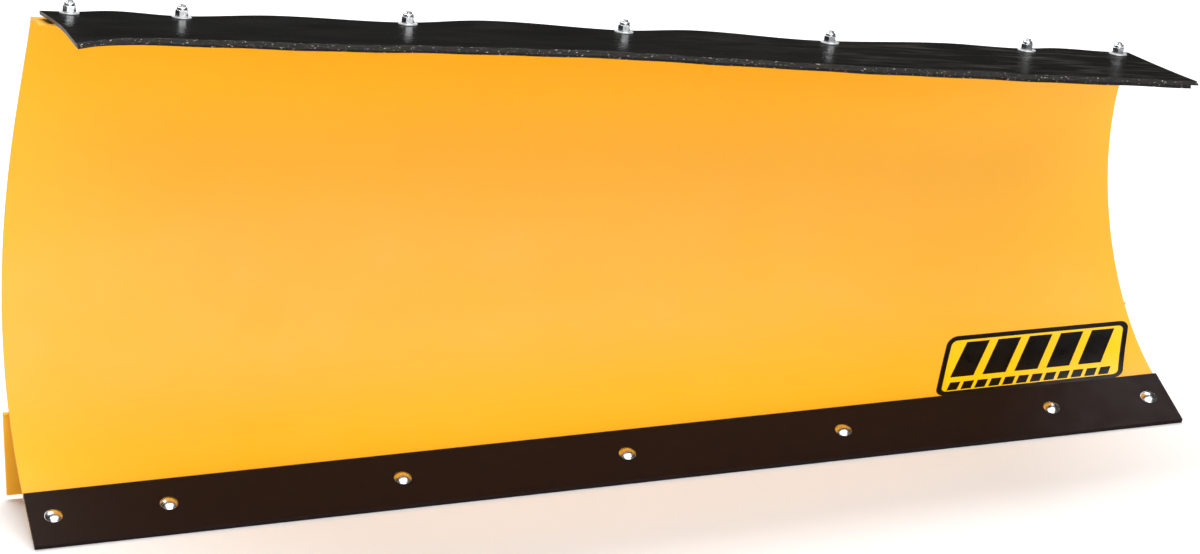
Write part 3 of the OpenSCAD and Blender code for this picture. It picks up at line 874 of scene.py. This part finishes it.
DECAL_SIZE = (268, 104)
FILM_BACK, FILM_MIDDLE, FILM_FRONT = 0.06, 0.2, 0.3
FRAME_W = 7.5
FRAME_CORNERS = (14, 8)
# Rows of marks: count, start, pitch and width along the decal, bottom, top, and lean
BARS = (5, 0.06, 0.172, 0.125, 0.32, 0.89, 0.05)
BLOCKS = (12, 0.055, 0.0735, 0.055, 0.09, 0.23, 0.012)


def rounded_outline(inset, corner, count=24):
    """Outline of the decal's rounded frame as shares a, b, inset millimetres from its edge."""
    w, h = DECAL_SIZE[0] - 2 * inset, DECAL_SIZE[1] - 2 * inset
    points = []
    for turn, (cx, cy) in enumerate(((w - corner, corner), (w - corner, h - corner),
                                     (corner, h - corner), (corner, corner))):
        angles = np.linspace(turn * 90 - 90, turn * 90, count)
        points += [(cx + corner * c, cy + corner * s) for c, s in across(angles)]
        nx, ny = ((w, h / 2), (w / 2, h), (0, h / 2), (w / 2, 0))[turn]
        points += [lerp(np.array(points[-1]), np.array((nx, ny)), t) for t in (0.25, 0.5, 0.75, 1)]
    points = np.array(points) + inset
    return points[:, 0] / DECAL_SIZE[0], points[:, 1] / DECAL_SIZE[1]


def decal_frame():
    outer, inner = rounded_outline(0, FRAME_CORNERS[0]), rounded_outline(FRAME_W, FRAME_CORNERS[1])
    rings = [decal_point(*outer, FILM_MIDDLE), decal_point(*outer, FILM_FRONT),
             decal_point(*inner, FILM_FRONT), decal_point(*inner, FILM_MIDDLE)]
    return rings_mesh(rings, closed=True)


def decal_patch(a0, a1, b0, b1, lean, back, front, corner=0.0):
    """Patch between shares a0..a1 and b0..b1, leaning by lean; corner rounds its ends."""
    b = np.linspace(0, 1, 25)
    height = (b1 - b0) * DECAL_SIZE[1]
    reach = np.clip(corner - np.minimum(b, 1 - b) * height, 0, corner)
    pull = (corner - np.sqrt(np.maximum(corner ** 2 - reach ** 2, 0))) / DECAL_SIZE[0]
    across_grid = []
    for u in np.linspace(0, 1, 7):
        a = lerp(a0 + pull, a1 - pull, u) + lean * b
        across_grid.append((a, lerp(b0, b1, b)))
    face_grids = [np.array([decal_point(a, v, d) for a, v in across_grid]) for d in (front, back)]
    sections = [np.concatenate([f, k[::-1]]) for f, k in zip(*face_grids)]
    count, size = len(sections), len(sections[0])
    faces = [[i * size + j, (i + 1) * size + j, (i + 1) * size + (j + 1) % size,
              i * size + (j + 1) % size] for i in range(count - 1) for j in range(size)]
    for base in (0, (count - 1) * size):
        faces += [[base + j, base + j + 1, base + size - 2 - j, base + size - 1 - j]
                  for j in range(size // 2 - 1)]
    return np.concatenate(sections), faces


def decal_row(count, start, pitch, width, bottom, top, lean):
    lefts = [start + i * pitch for i in range(count)]
    return [decal_patch(a, a + width, bottom, top, lean, FILM_MIDDLE, FILM_FRONT) for a in lefts]


def decal():
    patch = decal_patch(0.001, 0.999, 0.002, 0.998, 0, FILM_BACK, FILM_MIDDLE, FRAME_CORNERS[0])
    field = join("decal_field", [patch])
    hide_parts("stripe_decal")
    paint(field, "decal_film", "decal_yellow")
    paint(join("decal_frame", [decal_frame()]), "decal_film")
    paint(join("decal_stripes", decal_row(*BARS) + decal_row(*BLOCKS)), "decal_film")


# ---- CAD nodes that are shown

# Width of the rounded edges by the start of the node's name, in millimetres
EDGES = {"wear_bar": 0.5, "lower_angle": 0.7, "pivot_plate": 0.8, "spring_rail": 0.8,
         "spring_tabs": 0.6, "rib": 0.6, "pivot_ears": 0.8, "shoe_bracket": 0.6,
         "shoe_socket": 0.6, "skid_shoe": 1.0, "shoe_washers": 0.3, "spare_washers": 0.3,
         "lynch_pin": 0.6, "flap_washers": 0.25}


def finish_cad_nodes():
    for part in frame["record"]["subparts"]:
        name = part["node"]
        finish = "flat_washer" if name == "flap_washers" else None
        node = paint(frame["nodes"][name], part["material_slot"], finish)
        for start, width in EDGES.items():
            if name.startswith(start):
                soften(node, width)


# ---- camera, floor and light

def camera():
    data = bpy.data.cameras.new("camera")
    data.lens = 101.187
    data.sensor_width = 36
    data.clip_end = 50
    obj = bpy.data.objects.new("camera", data)
    bpy.context.scene.collection.objects.link(obj)
    right = Vector((0.95461, -0.29754, -0.01403))
    up = Vector((0.08848, 0.23827, 0.96717))
    ahead = Vector((0.28443, 0.92451, -0.25377))
    turn = Matrix((right, up, -ahead)).transposed().to_4x4()
    obj.matrix_world = Matrix.Translation((-1.2378, -3.99257, 1.3383)) @ turn
    bpy.context.scene.camera = obj


def floor():
    mesh = bpy.data.meshes.new("floor")
    half = 12
    corners = [(-half, -half, 0), (half, -half, 0), (half, half, 0), (-half, half, 0)]
    mesh.from_pydata(corners, [], [(0, 1, 2, 3)])
    obj = bpy.data.objects.new("floor", mesh)
    bpy.context.scene.collection.objects.link(obj)
    f = Finish("floor", (0.93, 0.935, 0.945), 0.8, Specular_IOR_Level=0.1)
    f.tint(f.spread(f.noise(3, 2), 0.3, 0.7, 0, 0.3), (0.91, 0.915, 0.925))
    obj.data.materials.append(f.material)


def softbox(name, place, aim, size, power):
    """Area light at place that points at aim, in metres and watts."""
    data = bpy.data.lights.new(name, "AREA")
    data.shape = "RECTANGLE"
    data.size, data.size_y = size
    data.energy = power
    obj = bpy.data.objects.new(name, data)
    bpy.context.scene.collection.objects.link(obj)
    obj.location = place
    obj.rotation_euler = (Vector(aim) - Vector(place)).to_track_quat("-Z", "Y").to_euler()


def studio():
    world = bpy.data.worlds.new("studio")
    world.use_nodes = True
    background = world.node_tree.nodes["Background"]
    background.inputs["Color"].default_value = (1, 1, 1, 1)
    background.inputs["Strength"].default_value = 0.035
    bpy.context.scene.world = world
    bpy.context.scene.view_settings.view_transform = "Standard"
    softbox("overhead", (0.2, 3.0, 4.8), (0.2, 2.4, 0), (7, 4), 460)
    softbox("top", (0.2, -4.2, 4.8), (0.1, -2.6, 0), (8, 4.5), 392)
    softbox("front", (-0.2, -4.8, 1.25), (0, 0, 0.3), (5, 1.8), 112)


camera()
moldboard()
flap_ply("flap_lower", "flap_lower_ply", SEAT_GAP, LOWER_PLY_INSET, LOWER_SETBACK, 0)
flap_ply("flap_upper", "flap_upper_ply", PLY_T + 2 * SEAT_GAP, (0, 0), ((0, 0), (1, 0)), UPPER_CUT)
fasteners()
weld("welds_ribs", rib_runs())
weld("welds_angle", angle_runs())
weld("welds_pivot", pivot_runs(), 2.6)
weld("welds_shoes", shoe_runs())
weld("welds_rail", rail_runs(), 2.0)
decal()
finish_cad_nodes()
floor()
studio()
